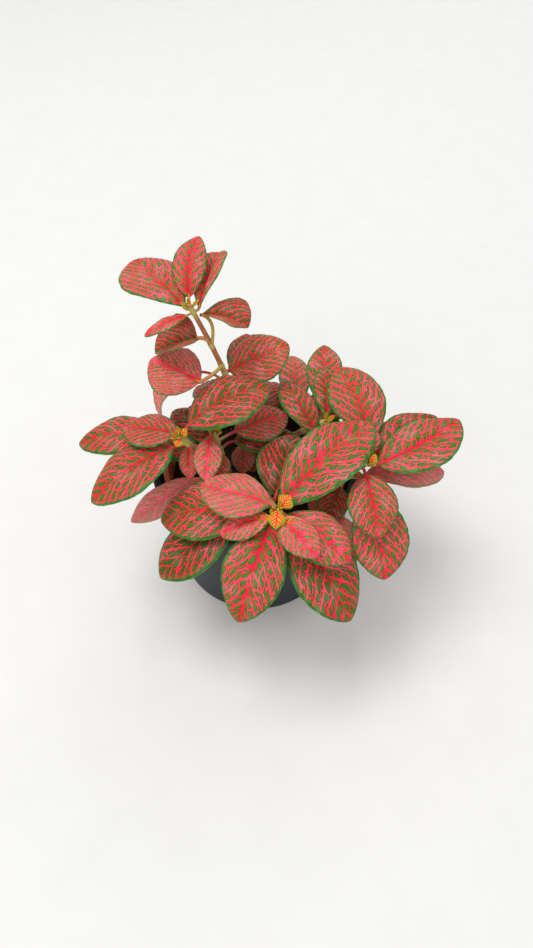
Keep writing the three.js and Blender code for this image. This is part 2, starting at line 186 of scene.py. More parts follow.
# Each shoot is its stem's foot, two handles and growing tip, and its leaves, youngest first.
SHOOTS = {
    "front": (((6, -14), (5, -26, 82), (9, -44, 92), (10, -53, 107)), (
        Leaf(106, (11.5, -52.5, 106.5), (15, -49, 111), 8, BUD),
        Leaf(106.5, (10, -54.5, 108), (9, -63.5, 107.5), 7.5, BUD),
        Leaf(104.5, (11, -56, 106), (25.5, -74, 103), 16, 0.08, arch=0.04),
        Leaf(104, (7, -53, 101), (-14, -57, 94), 15, 0.1),
        Leaf(102, (13.5, -52, 101), (40, -68.5, 92), 24, 0.22, arch=0.06),
        Leaf(102, (7, -48, 104), (-22.5, -39, 105), 26, 0.22, arch=0.02, roll=-6, pale=0.15),
        Leaf(98, (7.5, -53.5, 98), (-6, -87, 74), 27, 0.5, arch=0.12),
        Leaf(98, (12, -46.5, 101), (52.5, -8, 110), 30, 0.5, arch=0.12),
        Leaf(90, (0, -41, 91), (-42.5, -38, 78.5), 30, 0.62, roll=10),
        Leaf(88, (16, -49, 91), (40.5, -83.5, 68), 30, 0.6, arch=0.12, widest=0.52),
        Leaf(84, (-3, -39, 85), (-42, -61, 66), 28, 0.85, arch=0.06, sway=0.04, widest=0.6),
        Leaf(84, (9.5, -35, 92), (18, -5, 99), 26, 0.95),
    )),
    "left": (((-12, -6), (-14, -8, 82), (-26, -13, 94), (-33, -16, 110)), (
        Leaf(109.5, (-31.5, -16.5, 110), (-29, -15, 114), 4.5, BUD),
        Leaf(109.5, (-32, -18, 110), (-33.5, -22, 110), 4.5, BUD),
        Leaf(108, (-34, -14.5, 110), (-58.5, -8, 108), 23, 0.52, arch=0.03, roll=-6),
        Leaf(105, (-30, -14, 102), (-29, -23.5, 89.5), 9, 0.2),
        Leaf(106, (-29, -11, 111.5), (7, 5, 119), 33, 0.75, arch=0.13, sway=-0.02, roll=6),
        Leaf(104, (-36, -19, 106), (-70, -41, 95), 29, 0.6, arch=0.11, roll=-8),
        Leaf(98, (-39, -5, 100), (-81, -7.5, 95), 23, 0.62, widest=0.56),
        Leaf(79, (-23, -15, 80), (-57.5, -34, 71), 17, 0.1, arch=0.07, widest=0.56, pale=0.9),
        Leaf(84, (-26, -4, 85), (-62, 6, 79), 22, 0.75),
        Leaf(78, (-21, 5, 82), (-42, 29, 80), 19, 0.9),
    )),
    "tall": (((0, 8), (-5, 13, 92), (-14, 21, 118), (-27, 20, 152)), (
        Leaf(151, (-29, 20.5, 151), (-53, 44.5, 158), 31, 0.34, arch=0.05, widest=0.64, roll=-6),
        Leaf(151, (-27.5, 24, 153.5), (-23.5, 47.5, 168), 15, 0.24, sway=-0.06),
        Leaf(150, (-23.5, 21.5, 150), (-15, 49, 159), 19, 0.35, fold=25, roll=20, widest=0.62),
        Leaf(149, (-28.5, 18, 149), (-46, 9, 145), 8, 0.15, arch=0.06),
        Leaf(131, (-23, 21, 147), (-2.5, 19.5, 141), 23, 0.62, arch=0.04, sway=-0.08, widest=0.68,
             fold=28, elbow=(-16, 22.5, 144)),
        Leaf(131, (-24.8, 18.5, 136), (-44, 15.5, 130), 28, 0.6, arch=0.04, fold=34, widest=0.32),
        Leaf(120, (-24, 5, 122.5), (-46.5, 13.5, 127.5), 31, 0.17, arch=0.05, pale=0.05,
             elbow=(-17.5, 10, 122.5)),
        Leaf(116, (-12, 19.5, 116), (16, 30, 122), 26, 0.42, arch=0.03, roll=-14),
        Leaf(107, (-10, 24, 110), (-3.5, 45.5, 116), 13, 0.6),
        Leaf(106, (-26, 24, 111), (-43.5, 9, 89), 20, 0.3, arch=0.22, sway=0.3, roll=-25, pale=0.6),
        Leaf(92, (-10, 24, 91), (-30, 48, 79), 24, 0.85),
        Leaf(88, (-5, 3, 84), (-6, -11, 78), 12, 0.5, pale=0.2),
        Leaf(86, (2, 4.5, 82), (-2, -8.5, 76), 12, 0.7),
        Leaf(82, (3, 22, 84), (8, 54, 76), 24, 0.8),
    )),
    "right": (((16, -8), (18, -12, 84), (36, -21, 92), (49, -28, 107)), (
        Leaf(106.5, (50, -29.5, 107), (52, -27, 111), 4.5, BUD),
        Leaf(105, (49.5, -24, 106), (50, -6.5, 106.5), 12, 0.12),
        Leaf(105, (53.5, -27.5, 105), (91.5, -6, 110), 27, 0.5, arch=0.02, sway=0.05),
        Leaf(104, (48, -31, 103), (52.5, -57.5, 92), 22, 0.48),
        Leaf(99, (51, -12, 99), (38.5, 28, 110), 27, 0.48, arch=0.06, sway=0.08, widest=0.58),
        Leaf(93, (51, -18, 94), (86.5, 9, 96), 23, 0.72, widest=0.54),
        Leaf(89, (50, -21, 89), (88, -16, 85), 21, 0.2, widest=0.56, pale=0.7),
        Leaf(96, (51, -33, 95), (57, -65.5, 72), 26, 0.42, widest=0.55),
        Leaf(89, (38, -28, 90), (32.5, -43, 84), 14, 0.8),
        Leaf(78, (33, -20, 78), (28.5, -40, 79), 13, 0.5, pale=0.2),
        Leaf(84, (36.5, -38, 83), (44.5, -58, 74), 12, 0.4, pale=0.6),
        Leaf(84, (36, -10, 85), (73, 17, 80), 23, 0.85),
    )),
    "middle": (((-9, -14), (-12, -11, 80), (-17, -7, 90), (-18, -6, 101)), (
        Leaf(100.5, (-17.5, -5, 101), (-16, -3, 105), 4.5, BUD),
        Leaf(100, (-20, -9, 102.5), (-21, -31, 97), 13, 0.15, pale=0.1),
        Leaf(96, (-9.5, 1, 94.5), (15.5, 10.5, 95.5), 24, 0.42, arch=0.06),
        Leaf(92, (-17.5, -11, 94), (-17, -23, 88), 13, 0.45),
        Leaf(90, (-10, -1, 90), (20, 3.5, 88), 19, 0.92, arch=0.03),
    )),
    "back": (((10, 8), (12, 10, 82), (26, 6, 90), (33, 2, 101)), (
        Leaf(99, (28, -3, 98.5), (12.5, 22.5, 106), 17, 0.7, roll=-8),
        Leaf(100, (33.5, 4, 101.5), (33, 32, 107), 12, 0.75),
        Leaf(96, (32.5, 15.5, 97), (35, 51, 104), 18, 0.5),
        Leaf(90, (20, 20, 90), (19, 63.5, 86), 16, 0.55, pale=0.15),
        Leaf(84, (26, 16, 85), (53, 44, 78), 24, 0.8),
    )),
}


# Meshes

def unit(v):
    return v / np.linalg.norm(v, axis=-1, keepdims=True)


class Skin:
    """Gathers points and faces, and what the materials read: two UV maps, a colour attribute and slots."""

    def __init__(self):
        self.points, self.facts, self.faces = [], [], []
        self.vein_map, self.blade_map, self.slots = [], [], []
        self.count = 0

    def add(self, points, facts, faces, vein_map, blade_map, slot):
        """Points and facts are per point, faces hold four point numbers, and the maps are per corner."""
        self.points.append(points)
        self.facts.append(facts)
        self.faces.append(faces + self.count)
        self.vein_map.append(vein_map.reshape(-1, 2))
        self.blade_map.append(blade_map.reshape(-1, 2))
        self.slots.append(np.full(len(faces), slot))
        self.count += len(points)

    def make(self, name, materials):
        mesh = bpy.data.meshes.new(name)
        faces = np.concatenate(self.faces)
        mesh.from_pydata((np.concatenate(self.points) * MM).tolist(), [], faces.tolist())
        for title, values in (("vein", self.vein_map), ("blade", self.blade_map)):
            layer = mesh.uv_layers.new(name=title)
            layer.uv.foreach_set("vector", np.concatenate(values).astype(np.float32).ravel())
        facts = mesh.attributes.new("facts", "FLOAT_COLOR", "POINT")
        facts.data.foreach_set("color", np.concatenate(self.facts).astype(np.float32).ravel())
        mesh.polygons.foreach_set("material_index", np.concatenate(self.slots).astype(np.int32))
        mesh.polygons.foreach_set("use_smooth", np.ones(len(faces), bool))
        for material in materials:
            mesh.materials.append(material)
        mesh.validate()
        mesh.update()
        return link(name, mesh)


def link(name, data):
    """A new object in the scene that shows a mesh, a light or a camera."""
    made = bpy.data.objects.new(name, data)
    bpy.context.scene.collection.objects.link(made)
    return made


def grid_faces(rows, columns, closed=False):
    """The four point numbers of each face of a grid of points, and each face's column."""
    i, j = np.meshgrid(np.arange(rows - 1), np.arange(columns if closed else columns - 1), indexing="ij")
    i = i.ravel()
    j = j.ravel()
    after = (j + 1) % columns
    low, high = i * columns, (i + 1) * columns
    return np.stack([low + j, low + after, high + after, high + j], 1), j


def tube(skin, path, radii, sides, slot, facts):
    """A round rod along a path. Facts holds red, green, blue and alpha for each point of the path."""
    tangent = unit(np.gradient(path, axis=0))
    side = unit(np.cross(tangent[0], OFF_AXIS))
    turn = np.linspace(0, FULL_TURN, sides, endpoint=False)[:, None]
    rings = []
    for centre, along, radius in zip(path, tangent, radii):
        side = unit(side - along * np.dot(side, along))
        other = np.cross(along, side)
        rings.append(centre + radius * (np.cos(turn) * side + np.sin(turn) * other))
    faces, column = grid_faces(len(path), sides, closed=True)
    length = np.concatenate([[0], np.cumsum(np.linalg.norm(np.diff(path, axis=0), axis=1))])
    along = length[faces // sides]
    around = np.stack([column, column + 1, column + 1, column], 1) / sides * FULL_TURN * radii.mean()
    maps = np.stack([around, along], -1)
    skin.add(np.concatenate(rings), np.repeat(facts, sides, axis=0), faces, maps, maps, slot)


# The stems and leaves, with the same curves as the solids

def stem_curve(points, u):
    (x, y), *rest = points
    a, b, c, d = (np.array(p, float) for p in ((x, y, SOIL_TOP), *rest))
    u = np.asarray(u, float)[..., None]
    w = 1 - u
    return w**3 * a + 3 * w * w * u * b + 3 * w * u * u * c + u**3 * d


def stem_radius(u):
    return STEM_ROOT + (STEM_TIP - STEM_ROOT) * u


def share_at_height(points, height):
    """How far along the stem a height is reached, from 0 at the soil to 1 at the growing tip."""
    low, high = 0.0, 1.0
    for _ in range(24):
        middle = (low + high) / 2
        if stem_curve(points, middle)[2] < height:
            low = middle
        else:
            high = middle
    return low


def rib(leaf, t):
    """The midrib's points, and its side, normal and tangent there."""
    base, tip = np.array(leaf.base, float), np.array(leaf.tip, float)
    chord = tip - base
    level = unit(np.array((chord[1], -chord[0], 0.0)))
    rise = np.cross(level, chord)
    bend = (base + tip) / 2 + 2 * leaf.arch * rise + 2 * leaf.sway * np.linalg.norm(chord) * level
    t = np.asarray(t, float)[:, None]
    centre = (1 - t) ** 2 * base + 2 * t * (1 - t) * bend + t * t * tip
    tangent = unit((1 - t) * (bend - base) + t * (tip - bend))
    flat = unit(level - tangent * (tangent @ level)[:, None])
    upright = np.cross(flat, tangent)
    roll = math.radians(leaf.roll)
    side = flat * math.cos(roll) + upright * math.sin(roll)
    return centre, side, np.cross(side, tangent), tangent


def outline(t, widest, fullness):
    """The half width from base to tip, as a share of the widest place's."""
    swell = np.sin(math.pi * t ** (math.log(0.5) / math.log(widest)))
    return np.maximum(swell, 0) ** fullness


def ripples(t, seed):
    """A factor that keeps the outline from being a perfect curve."""
    factor = 1.0
    for height, count, shift in EDGE_RIPPLES:
        factor = factor + height * np.sin(FULL_TURN * (count * t + shift * seed))
    return factor


def petiole_radius(leaf):
    return min(max(leaf.width * PETIOLE_PER_WIDTH, PETIOLE_RADII[0]), PETIOLE_RADII[1])


def smooth(value, low, high):
    x = np.clip((value - low) / (high - low), 0, 1)
    return x * x * (3 - 2 * x)


def vein_number(x, y, seed):
    """The number of the side vein that runs through a place, or a fraction between two of them."""
    a = np.abs(x)
    wander = 0.11 * np.sin(0.42 * y + 0.3 * x + 9 * seed) + 0.07 * np.sin(1.1 * a - 0.35 * y + 23 * seed)
    start = y - (VEIN_SLOPE + VEIN_FAN * y) * a - VEIN_CURVE * a * a
    return start / VEIN_SPACING - VEIN_CROWD * np.exp(-start / CROWD_REACH) + wander


def blade(skin, leaf, seed, grid):
    """A leaf's blade: a thin sheet with quilting between its veins, a grooved midrib and a keel under it."""
    rows, columns = grid
    in_bud = leaf.age < 0
    w = np.linspace(0, 1, rows + 1)
    t = (1 - END_CROWD) * w + END_CROWD * (0.5 - 0.5 * np.cos(math.pi * w))
    v = np.linspace(-1, 1, columns + 1)
    v = v * (1 + EDGE_CROWD - EDGE_CROWD * v * v)
    centre, side, normal, _ = rib(leaf, t)
    half = leaf.width / 2 * outline(t, leaf.widest, BUD_FULLNESS if in_bud else FULLNESS) * ripples(t, seed)
    half = np.maximum(half, petiole_radius(leaf) * BASE_SHARE * (1 - t) + TIP_HALF * t)[:, None]
    length = np.sum(np.linalg.norm(np.diff(centre, axis=0), axis=1))
    scale = min(max((length / PATTERN_LENGTH) ** PATTERN_POWER, PATTERN_SCALES[0]), PATTERN_SCALES[1])

    # The place on the flat leaf, in pattern millimetres across and along it.
    t, out = t[:, None], np.abs(v)[None, :]
    x = v * half / scale
    y = np.broadcast_to(t * length / scale, x.shape)
    a = np.abs(x)
    edge = half * (1 - out)
    vein = vein_number(x, y, seed)

    between = 0.5 - 0.5 * np.cos(FULL_TURN * (vein + np.where(v < 0, OTHER_SIDE, 0)))
    calm = smooth(a, *QUILT_START) * smooth(edge, 0, QUILT_MARGIN)
    groove = GROOVE * scale * np.exp(-((a / GROOVE_HALF) ** 2)) * (1 - GROOVE_FADE * t)
    relief = QUILT * scale * between * calm - groove
    crumple = WAVE * (BUD_CRUMPLE if in_bud else 1)
    wave = crumple * scale * out**3 * np.sin(FULL_TURN * (WAVES * t + seed + WAVE_SHIFT * np.sign(v)))
    fold = math.radians(leaf.fold)
    lift = half * (out * math.sin(fold) + CUP * out - DROOP * out * out) + relief + wave

    round_edge = np.sqrt(np.maximum(1 - out**EDGE_ROUNDING, 0))
    round_ends = np.sqrt(np.maximum(1 - (2 * t - 1) ** END_ROUNDING, 0))
    thick = THICKNESS / 2 * round_edge * round_ends
    keel = KEEL * scale * np.exp(-((a / KEEL_HALF) ** 2)) * (1 - t)
    sheet = centre[:, None] + side[:, None] * (v * half * math.cos(fold))[..., None]
    top = sheet + normal[:, None] * (lift + thick)[..., None]
    under = sheet + normal[:, None] * (lift - thick - keel)[..., None]
    # A pale leaf's top gets part of the underside's colour: partly its own paleness, partly painted light in
    # shade.
    facts = np.stack(np.broadcast_arrays(edge / scale, leaf.age, seed, 1 - leaf.pale), -1)
    sew(skin, top, under, x, y, vein, facts)


def sew(skin, top, under, x, y, vein, facts):
    """Adds a blade's top and underside, which share the outline's points. The last fact marks the top."""
    inner = np.zeros(x.shape, bool)
    inner[1:-1, 1:-1] = True
    top_id = np.arange(x.size).reshape(x.shape)
    under_id = top_id.copy()
    under_id[inner] = x.size + np.arange(inner.sum())
    faces, column = grid_faces(*x.shape)
    corner = np.concatenate([top_id.ravel()[faces], under_id.ravel()[faces][:, ::-1]])
    place = np.concatenate([faces, faces[:, ::-1]])
    far = np.where(np.tile(column, 2) < x.shape[1] // 2, OTHER_SIDE, 0)[:, None]
    vein_map = np.stack([vein.ravel()[place] + far, VEIN_STRETCH * np.abs(x).ravel()[place]], -1)
    blade_map = np.stack([x.ravel()[place], y.ravel()[place]], -1)
    below = facts[inner]
    below[:, 3] = 0
    points = np.concatenate([top.reshape(-1, 3), under[inner]])
    skin.add(points, np.concatenate([facts.reshape(-1, 4), below]), corner, vein_map, blade_map, 0)


def petiole(skin, shoot, leaf, seed):
    """The leaf's stalk, from its node on the stem into the underside of the blade."""
    node = stem_curve(shoot, share_at_height(shoot, leaf.at))
    base = np.array(leaf.base, float)
    reach = np.linalg.norm(base - node)
    start_tangent = rib(leaf, [0.0])[3][0]
    elbow = np.array(leaf.elbow, float) if leaf.elbow else base - start_tangent * reach / 2
    u = np.linspace(0, 1, STALK_STEPS, endpoint=False)[:, None]
    stalk = (1 - u) ** 2 * node + 2 * u * (1 - u) * elbow + u * u * base
    sunk_steps = len(STALK_SINK)
    midrib, _, normal, _ = rib(leaf, np.linspace(0, STALK_UNDER, sunk_steps))
    path = np.concatenate([stalk, midrib - np.array(STALK_SINK)[:, None] * normal])
    radius = petiole_radius(leaf)
    radii = np.concatenate([np.full(STALK_STEPS, radius), np.linspace(radius, STALK_END, sunk_steps)])
    radii[:len(STALK_FOOT)] *= STALK_FOOT
    steps = len(path)
    age = max(leaf.age, 0) * (1 - smooth(base[2], *PALE_STALKS))
    facts = np.stack([np.linspace(0, 1, steps), np.full(steps, age), np.full(steps, seed), np.ones(steps)], 1)
    tube(skin, path, radii, STALK_SIDES, 1, facts)


def stem(name, shoot, leaves, material):
    """A stem that swells at each node, with short hairs."""
    skin = Skin()
    u = np.linspace(0, 1, STEM_STEPS)
    above = stem_curve(shoot, u)
    root = above[0] - np.array((0, 0, STEM_DEPTH)) * np.linspace(1, 0.1, ROOT_STEPS)[:, None]
    path = np.concatenate([root, above])
    radii = np.concatenate([np.full(ROOT_STEPS, STEM_ROOT), stem_radius(u)])
    height = path[:, 2]
    swell = np.zeros(len(path))
    for leaf in leaves:
        swell = np.maximum(swell, np.exp(-(((height - leaf.at) / NODE_REACH) ** 2)))
    to_tip = np.linalg.norm(path - path[-1], axis=1)
    facts = np.stack([swell, height, to_tip, np.ones(len(path))], 1)
    tube(skin, path, radii * (1 + NODE_SWELL * swell), STEM_SIDES, 0, facts)
    rng = random.Random(name)
    for _ in range(HAIR_COUNT):
        hair(skin, rng, shoot)
    return skin.make(name, [material])


def hair(skin, rng, shoot):
    """One short hair on a stem: a thin cone of three sides."""
    u = rng.uniform(0.03, 1)
    foot = stem_curve(shoot, u)
    along = unit(stem_curve(shoot, min(u + 0.01, 1.01)) - foot)
    turn = rng.uniform(0, FULL_TURN)
    side = unit(np.cross(along, OFF_AXIS))
    out = math.cos(turn) * side + math.sin(turn) * np.cross(along, side)
    foot = foot + out * stem_radius(u) * 0.95
    length = rng.uniform(*HAIR_LENGTHS)
    lean = rng.uniform(*HAIR_LEANS)
    path = np.array([foot, foot + out * length + along * lean])
    facts = np.array([[HAIR_MARK, foot[2], 0, 1]] * 2)
    tube(skin, path, np.array(HAIR_RADII), 3, 0, facts)


def growing_tip(skin, rng, shoot):
    """The smallest leaflets, folded together at the end of a stem."""
    top = stem_curve(shoot, 1.0)
    up = unit(top - stem_curve(shoot, 0.96))
    turn = rng.uniform(0, 360)
    for number in range(TIP_LEAFLETS):
        around = math.radians(turn + number * TIP_TURN)
        lean = TIP_LEANS[0] + TIP_LEANS[1] * number
        out = np.array((math.cos(around), math.sin(around), 0.0))
        base = top + 0.6 * out - 0.3 * up
        reach = rng.uniform(*TIP_REACH) + TIP_GAIN * number
        tip = base + reach * unit(up + lean * out)
        leaflet = Leaf(0, tuple(base), tuple(tip), reach * TIP_WIDTH, BUD, arch=-0.1, fold=28)
        blade(skin, leaflet, rng.random(), TIP_GRID)


# Materials

# Colours as the eye reads them on a screen, from 0 to 255. First the pairs that a material goes between.
PAIRS = {
    "rib": ((250, 44, 78), (229, 4, 42)),
    "net": ((254, 78, 110), (244, 20, 60)),
    "green": ((92, 148, 26), (2, 54, 0)),
    "bud": ((140, 170, 16), (214, 158, 52)),
    "stalk": ((186, 170, 78), (168, 104, 60)),
    "stalk_end": ((196, 130, 62), (188, 18, 40)),
    "stem": ((138, 78, 44), (184, 122, 72)),
    "charcoal": ((27, 32, 37), (35, 41, 47)),
    "terracotta": ((168, 88, 56), (196, 112, 76)),
    "peat": ((20, 15, 12), (58, 43, 32)),
    "floor": ((206, 204, 200), (212, 210, 206)),
}
PAINTS = {
    # Painted sheen: a highlight painted into the veins' colour.
    "vein_painted_sheen": (255, 140, 160),
    "vein_flush": (206, 4, 36),
    "rib_core": (166, 2, 36),
    "vein_ripe": (232, 8, 40),
    "vein_fresh": (236, 170, 70),
    "green_margin": (70, 134, 50),
    "green_dark": (16, 52, 4),
    "green_patch": (86, 148, 58),
    # Painted shade at the foot of each green island, and a painted highlight on its domed top.
    "green_painted_shade": (8, 46, 0),
    "green_painted_highlight": (104, 152, 100),
    # Painted sheen: a highlight painted into the green islands' colour.
    "green_painted_sheen": (140, 180, 138),
    "leaf_rim": (104, 142, 76),
    "leaf_underside": (236, 158, 148),
    "bud_veins": (226, 18, 40),
    "stalk_streak": (120, 62, 40),
    "stem_foot": (92, 62, 42),
    "stem_node": (184, 176, 92),
    "stem_hair": (226, 214, 190),
    "dust": (120, 118, 112),
    "worn_lip": (72, 76, 84),
    "scratch": (214, 146, 112),
    "peat_smear": (52, 38, 30),
    "peat_grit": (104, 82, 60),
    "peat_crumb": (92, 66, 44),
    "pale_grain": (214, 208, 194),
}


def linear(level):
    """One part of a screen colour, turned into the renderer's linear one."""
    share = level / 255
    return ((share + 0.055) / 1.055) ** 2.4 if level > 10 else share / 12.92


def paint(colour):
    return (*map(linear, colour), 1)


class Shader:
    """Short names for the nodes of one procedural material."""

    def __init__(self, name):
        self.material = bpy.data.materials.new(name)
        self.material.use_nodes = True
        self.tree = self.material.node_tree
        self.surface = self.tree.nodes["Principled BSDF"]

    def put(self, socket, value):
        if isinstance(value, bpy.types.NodeSocket):
            self.tree.links.new(value, socket)
        else:
            socket.default_value = value

    def fill(self, made, **values):
        """Sets a node's sockets by their names."""
        for title, value in values.items():
            self.put(made.inputs[title.replace("_", " ")], value)
        return made

    def node(self, kind, **settings):
        made = self.tree.nodes.new("ShaderNode" + kind)
        for key, value in settings.items():
            setattr(made, key, value)
        return made

    def feed(self, made, *values):
        """Sets a node's first sockets, and gives its first output."""
        for socket, value in zip(made.inputs, values):
            self.put(socket, value)
        return made.outputs[0]

    def math(self, operation, *values):
        return self.feed(self.node("Math", operation=operation), *values)

    def times(self, *values):
        return self.math("MULTIPLY", *values)

    def plus(self, *values):
        return self.math("ADD", *values)

    def minus(self, *values):
        return self.math("SUBTRACT", *values)

    def lerp(self, factor, low, high, kind="LINEAR", start=0, end=1):
        """Goes from low to high as the factor goes from start to end."""
        made = self.node("MapRange", interpolation_type=kind)
        self.fill(made, Value=factor, From_Min=start, From_Max=end, To_Min=low, To_Max=high)
        return made.outputs[0]

    def step(self, value, start, end):
        """0 before start, 1 after end, and smooth between them."""
        return self.lerp(value, 0, 1, "SMOOTHSTEP", start, end)

    def below(self, value, start, end):
        """1 before start, 0 after end, and smooth between them."""
        return self.minus(1, self.step(value, start, end))

    def blend(self, factor, first, second):
        made = self.node("Mix", data_type="RGBA")
        for number, value in ((0, factor), (6, first), (7, second)):
            self.put(made.inputs[number], value)
        return made.outputs[2]

    def coat(self, colour, *coats):
        """Lays paints over a colour: each one's name, the mask where it goes on, and its strength."""
        for name, mask, strength in coats:
            colour = self.blend(self.times(mask, strength), colour, paint(PAINTS[name]))
        return colour

    def between(self, factor, name):
        return self.blend(factor, *map(paint, PAIRS[name]))

    def vector(self, x, y, z=0):
        return self.feed(self.node("CombineXYZ"), x, y, z)

    def parts(self, vector):
        made = self.node("SeparateXYZ")
        self.put(made.inputs[0], vector)
        return made.outputs

    def uv(self, name):
        return self.parts(self.node("UVMap", uv_map=name).outputs[0])

    def facts(self):
        """The four numbers that each point carries for its material."""
        read = self.node("Attribute", attribute_name="facts")
        split = self.node("SeparateColor")
        self.put(split.inputs[0], read.outputs["Color"])
        return (*split.outputs, read.outputs["Alpha"])

    def noise(self, vector, scale, detail=2, roughness=0.5):
        made = self.node("TexNoise")
        return self.fill(made, Vector=vector, Scale=scale, Detail=detail, Roughness=roughness).outputs[0]

    def cells(self, vector, feature, randomness):
        made = self.node("TexVoronoi", feature=feature, voronoi_dimensions="2D")
        return self.fill(made, Vector=vector, Scale=1, Randomness=randomness)

    def place(self):
        """The surface's own place in metres, which moves with the object."""
        return self.node("TexCoord").outputs["Object"]

    def bump(self, height, distance, strength=1):
        made = self.node("Bump")
        return self.fill(made, Height=height, Distance=distance * MM, Strength=strength).outputs[0]

    def finish(self, colour, roughness, **others):
        self.fill(self.surface, Base_Color=colour, Roughness=roughness, **others)
        return self.material


class LeafShader(Shader):
    """Pink veins over green islands. Lengths are in pattern millimetres.

    The vein map gives each side vein's number and the way along it, the blade map the place on the leaf.
    """

    def __init__(self):
        super().__init__("nerve_leaf")
        number, self.along, _ = self.uv("vein")
        x, self.y, _ = self.uv("blade")
        self.edge, self.age, self.seed, self.top = self.facts()
        self.where = self.vector(x, self.y, self.times(self.seed, NOISE_SHIFT))
        for scale, amount in VEIN_DRIFTS:
            drift = self.minus(self.noise(self.where, scale), 0.5)
            number = self.plus(number, self.times(drift, amount))
        self.number = number
        self.bud = self.step(self.age, 0, -0.6)
        swelling = self.times(self.bud, BUD_VEINS)
        self.young = self.plus(self.lerp(self.age, YOUNG_VEINS, OLD_VEINS), swelling)
        self.rib_gap = self.math("DIVIDE", self.along, VEIN_STRETCH)
        self.inset = self.minus(self.edge, self.lerp(self.age, *MARGINS))
        # Noise patches where a sheen is painted into the colour as a highlight.
        self.painted_sheen = self.step(self.noise(self.where, 0.13), 0.45, 0.7)

    def midrib(self):
        width = self.times(self.lerp(self.y, *RIB_WIDTHS, end=RIB_END), self.young)
        return self.below(self.minus(self.rib_gap, width), -0.1, 0.12)

    def side_veins(self):
        """The side veins' mask, and the gap beside the nearest one as a share of their spacing."""
        off = self.minus(self.math("FRACT", self.plus(self.number, 0.5)), 0.5)
        width = self.times(self.lerp(self.along, *SIDE_WIDTHS, end=5), self.young)
        gap = self.minus(self.math("ABSOLUTE", off), width)
        mask = self.below(gap, -0.022, 0.026)
        return self.times(mask, self.step(self.inset, 0.1, 0.7)), gap

    def net(self, side_gap):
        """The net's mask, the depth inside its islands, and a number for each island.

        Two rows of islands lie between neighbouring side veins. Half a cell's step puts the cells' edges on
        the veins, and the rows crowd there, so that no slivers of green are left beside them.
        """
        turn = self.times(self.number, FULL_TURN)
        crowd = self.times(self.math("SINE", turn), NET_CROWDING / math.pi)
        rows = self.plus(self.times(self.number, 2), crowd)
        rows = self.plus(rows, 0.5 + NET_RANDOMNESS / 2)
        shorter = self.math("POWER", self.math("DIVIDE", self.along, NET_SHORTENING), 2)
        far = self.plus(self.math("DIVIDE", self.along, NET_LENGTH), shorter)
        far = self.plus(far, self.times(self.seed, NET_SHIFT))
        place = self.vector(rows, far)

        width = self.lerp(self.along, self.lerp(self.age, *INNER_NET), OUTER_NET, start=0.5, end=6)
        uneven = self.lerp(self.noise(self.where, 0.5), 0.7, 1.3, start=0.3, end=0.7)
        width = self.times(self.times(width, uneven), self.young)
        width = self.plus(width, self.times(self.step(side_gap, 0.15, 0), 0.02))
        crowding = self.plus(1, self.times(self.math("COSINE", turn), NET_CROWDING))
        width = self.times(width, crowding)
        gap = self.cells(place, "DISTANCE_TO_EDGE", NET_RANDOMNESS).outputs["Distance"]
        depth = self.minus(gap, width)
        mask = self.times(self.below(depth, -0.03, 0.04), self.step(self.inset, 0.3, 1))
        island = self.parts(self.cells(place, "F1", NET_RANDOMNESS).outputs["Color"])[0]
        return mask, depth, island

    def vein_paint(self):
        """Deep red along the midrib's base, pinker outwards, yellow at the base of new leaves, and a painted
        sheen.
        """
        outwards = self.step(self.along, 0, 8)
        colour = self.blend(outwards, self.between(self.age, "rib"), self.between(self.age, "net"))
        flush = self.times(self.step(self.along, 7, 0.5), self.step(self.y, 28, 2))
        core = self.times(self.step(self.rib_gap, 0.62, 0.2), self.step(self.y, 38, 8))
        ripe = self.times(self.step(self.y, 28, 46), self.step(self.age, 0.3, 0.6))
        fresh = self.times(self.step(self.age, 0.16, 0.06), self.step(self.y, 14, 1))
        return self.coat(
            colour,
            # A highlight painted into the veins' colour.
            ("vein_painted_sheen", self.painted_sheen, 0.26),
            ("vein_flush", flush, 0.7),
            ("rib_core", core, self.lerp(self.age, 0.5, 0.75)),
            ("vein_ripe", ripe, 0.6),
            ("vein_fresh", fresh, 0.6),
        )

    def green_paint(self, depth, island):
        """The islands: darker with age, each with a tone of its own, painted shade at the foot, painted
        highlights above.
        """
        # The ramp inside each island that carries its painted shade and its painted highlight.
        rise = self.step(depth, 0, 0.24)
        return self.coat(
            self.between(self.age, "green"),
            ("green_margin", self.step(self.edge, 4.2, 0.8), 0.6),
            ("green_dark", island, 0.3),
            ("green_patch", self.step(self.noise(self.where, 1.6, 3), 0.45, 0.75), 0.25),
            # Painted shade where the islands dip to the veins, and a painted highlight on their tops.
            ("green_painted_shade", self.lerp(rise, 0.5, 0), 1),
            ("green_painted_highlight", rise, 0.08),
            # A highlight painted into the islands' colour.
            ("green_painted_sheen", self.painted_sheen, 0.12),
        )

    def bud_paint(self, ribs):
        """The growing tips: yellow-green at the edge and orange-red in the middle."""
        colour = self.between(self.step(self.edge, 1, 6), "bud")
        return self.coat(colour, ("bud_veins", self.times(ribs, self.step(self.edge, 0.4, 2.8)), 0.95))

    def build(self):
        side, side_gap = self.side_veins()
        ribs = self.math("MAXIMUM", self.midrib(), side)
        net, depth, island = self.net(side_gap)
        veins = self.math("MAXIMUM", ribs, net)
        colour = self.blend(veins, self.green_paint(depth, island), self.vein_paint())
        colour = self.coat(colour, ("leaf_rim", self.step(self.edge, 0.4, 0.1), 0.5))
        colour = self.blend(self.bud, colour, self.bud_paint(ribs))
        # The underside is paler and duller.
        # Pale leaves carry this colour on their top too: partly their own paleness, partly painted light in
        # shade.
        colour = self.blend(self.top, self.coat(colour, ("leaf_underside", 1, 0.5)), colour)
